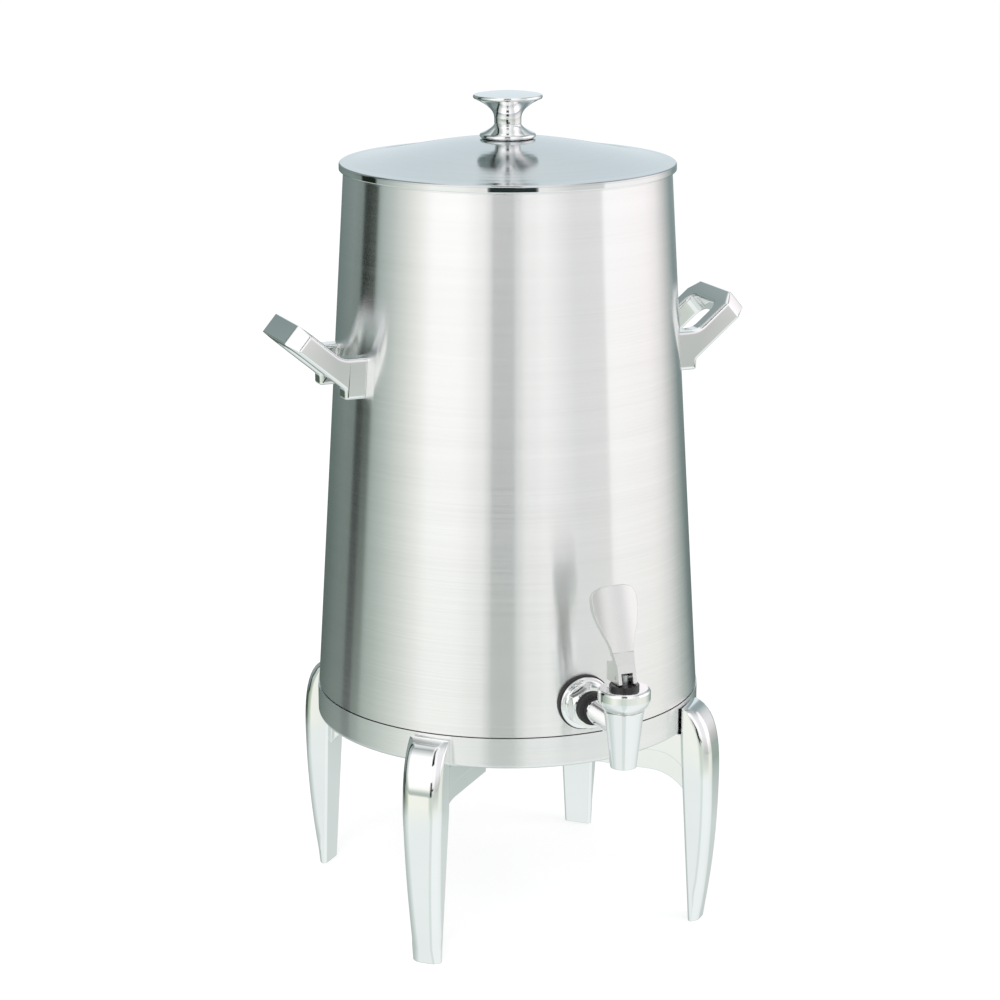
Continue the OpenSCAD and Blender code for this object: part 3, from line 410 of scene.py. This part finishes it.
# The lit backdrop behind the urn, which the lid sees
BACKDROP = [(-180, WHITE), (-172, WHITE), (-166, BLACK), (166, BLACK), (172, WHITE), (180, WHITE)]
BACKDROP_TONE = (0.76, 0.85, 0.89)
# The dark camera in front, the bar under it and the boom that it hangs from: left, right, low, top
IN_FRONT = [
    (-14.5, 4.5, -0.24, -0.16), (-10.5, 4.5, -0.16, -0.03),
    (-13, 20, -0.16, -0.135), (-14, 12, 0.34, 0.96),
]
IN_FRONT_TONE = (0.02, 0.03, 0.03)
# The ceiling, which is dark on both sides, and darkest over the dark wall and over the camera
SIDE_TONE = (0.26, 0.31, 0.31)
CEILING = [
    (-155, WHITE), (-135, SIDE_TONE), (-118, SIDE_TONE), (-116, (0.05, 0.06, 0.06)),
    (-101, (0.05, 0.06, 0.06)), (-99, SIDE_TONE), (-75, SIDE_TONE), (-45, WHITE),
    (-15, WHITE), (-14, (0.1, 0.1, 0.1)), (12, (0.1, 0.1, 0.1)), (13, WHITE),
    (45, WHITE), (75, SIDE_TONE), (135, SIDE_TONE), (155, WHITE),
]
ROOM_LIGHT = 0.75          # what matt surfaces see of the room
FLOOR_GLOW = 0.63          # keeps the floor white around the urn's shadow


def turned(t, stops, around):
    """Colours by side."""
    return ramp(t, [((side + 180) / 360, colour) for side, colour in stops], around)


def window(t, source, low, high, soft):
    """1 where source is from low to high, 0 elsewhere, with edges that are soft wide."""
    rise = spread(t, source, 0, 1, low - soft / 2, low + soft / 2)
    fall = spread(t, source, 1, 0, high - soft / 2, high + soft / 2)
    return times(t, rise, fall)


def room(t):
    """The colour of the studio in every direction."""
    place = add(t, "ShaderNodeTexCoord").outputs["Generated"]
    place = add(t, "ShaderNodeVectorRotate", {"Vector": place, "Angle": math.radians(-CAMERA_TURN)},
                rotation_type="Z_AXIS").outputs["Vector"]
    xyz = add(t, "ShaderNodeSeparateXYZ", {"Vector": place}).outputs
    side = calculate(t, "ARCTAN2", xyz["X"], calculate(t, "MULTIPLY", xyz["Y"], -1))
    around = spread(t, side, 0, 1, -math.pi, math.pi)
    high = xyz["Z"]
    height = spread(t, high, 0, 1, -1, 1)

    view = blend(t, 1.0, turned(t, WALLS, around), ramp(t, WALL_FOOT, height), "MULTIPLY")
    behind = times(t, turned(t, BACKDROP, around), window(t, high, -0.08, 2, 0.04))
    view = blend(t, behind, view, BACKDROP_TONE)
    for left, right, low, top in IN_FRONT:
        front = turned(t, [(left - 0.5, BLACK), (left + 0.5, WHITE),
                           (right - 0.5, WHITE), (right + 0.5, BLACK)], around)
        view = blend(t, times(t, front, window(t, high, low, top, 0.01)), view, IN_FRONT_TONE)
    view = blend(t, ramp(t, [(0.72, BLACK), (0.88, WHITE)], height), view, turned(t, CEILING, around))
    view = blend(t, ramp(t, [(0.93, BLACK), (0.97, WHITE)], height), view, WHITE)
    left = times(t, turned(t, STRIP_LEFT, around), spread(t, high, 1, 0, -0.19, -0.14))
    view = blend(t, left, view, STRIP_LEFT_TONE)

    right = times(t, turned(t, TABLE_RIGHT, around), spread(t, high, 0, 1, -0.35, -0.25))
    table = blend(t, right, turned(t, TABLE, around), TABLE_RIGHT_TONE)
    table = blend(t, spread(t, high, 1, 0, -0.38, -0.30), table, turned(t, TABLE_NEAR, around))
    return blend(t, spread(t, high, 1, 0, TABLE_EDGE - 0.005, TABLE_EDGE + 0.005), view, table)


def studio_world():
    """Gloss sees the room, the camera sees white, and everything else sees an even light."""
    w = bpy.data.worlds.new("studio")
    bpy.context.scene.world = w
    t = new_tree(w)
    w.cycles.sampling_method = "NONE"
    studio = add(t, "ShaderNodeBackground", {"Color": room(t)}).outputs[0]
    white = add(t, "ShaderNodeBackground", {"Color": WHITE}).outputs[0]
    soft = add(t, "ShaderNodeBackground", {"Color": WHITE, "Strength": ROOM_LIGHT}).outputs[0]
    glossy = add(t, "ShaderNodeLightPath").outputs["Is Glossy Ray"]
    lit = add(t, "ShaderNodeMixShader", {"Fac": glossy, 1: soft, 2: studio}).outputs[0]
    seen = seen_by(t, "Camera", "Transmission")
    last = add(t, "ShaderNodeMixShader", {"Fac": seen, 1: lit, 2: white}).outputs[0]
    add(t, "ShaderNodeOutputWorld", {"Surface": last})


def floor():
    """A pale floor that keeps the urn's shadow and is white elsewhere."""
    mesh = bpy.data.meshes.new("floor")
    b = bmesh.new()
    bmesh.ops.create_circle(b, cap_ends=True, segments=64, radius=30)
    b.to_mesh(mesh)
    b.free()
    o = bpy.data.objects.new("floor", mesh)
    bpy.context.scene.collection.objects.link(o)
    o.location.z = -0.0002
    m = bpy.data.materials.new("floor")
    t = new_tree(m)
    plain = add(t, "ShaderNodeBsdfDiffuse", {"Color": (0.5, 0.5, 0.5)}).outputs[0]
    strength = times(t, seen_by(t, "Camera", "Glossy"), FLOOR_GLOW)
    glow = add(t, "ShaderNodeEmission", {"Color": WHITE, "Strength": strength}).outputs[0]
    both = add(t, "ShaderNodeAddShader", {0: plain, 1: glow}).outputs[0]
    add(t, "ShaderNodeOutputMaterial", {"Surface": both})
    mesh.materials.append(m)
    o.visible_glossy = False


def lamp(name, place, power):
    """A round soft box that is turned to the urn."""
    d = bpy.data.lights.new(name, "AREA")
    d.shape = "DISK"
    d.size = 1.6
    d.energy = power
    o = bpy.data.objects.new(name, d)
    bpy.context.scene.collection.objects.link(o)
    o.location = place
    o.rotation_euler = (Vector((0, 0, 0.3)) - Vector(place)).to_track_quat("-Z", "Y").to_euler()
    o.visible_glossy = False


def camera():
    d = bpy.data.cameras.new("camera")
    d.sensor_width = 36
    d.lens = CAMERA_LENS
    d.clip_end = 200
    o = bpy.data.objects.new("camera", d)
    bpy.context.scene.collection.objects.link(o)
    turn = math.radians(CAMERA_TURN)
    o.location = (CAMERA_DISTANCE * math.sin(turn), -CAMERA_DISTANCE * math.cos(turn), CAMERA_HEIGHT)
    o.rotation_euler = (math.radians(90 - CAMERA_DOWN), 0, turn + math.radians(CAMERA_ASIDE))
    bpy.context.scene.camera = o


studio_world()
floor()
lamp("key", (-1.4, -1.8, 2.4), 28)
lamp("fill", (1.9, -1.2, 1.8), 14)
camera()
bpy.context.scene.view_settings.view_transform = "Standard"
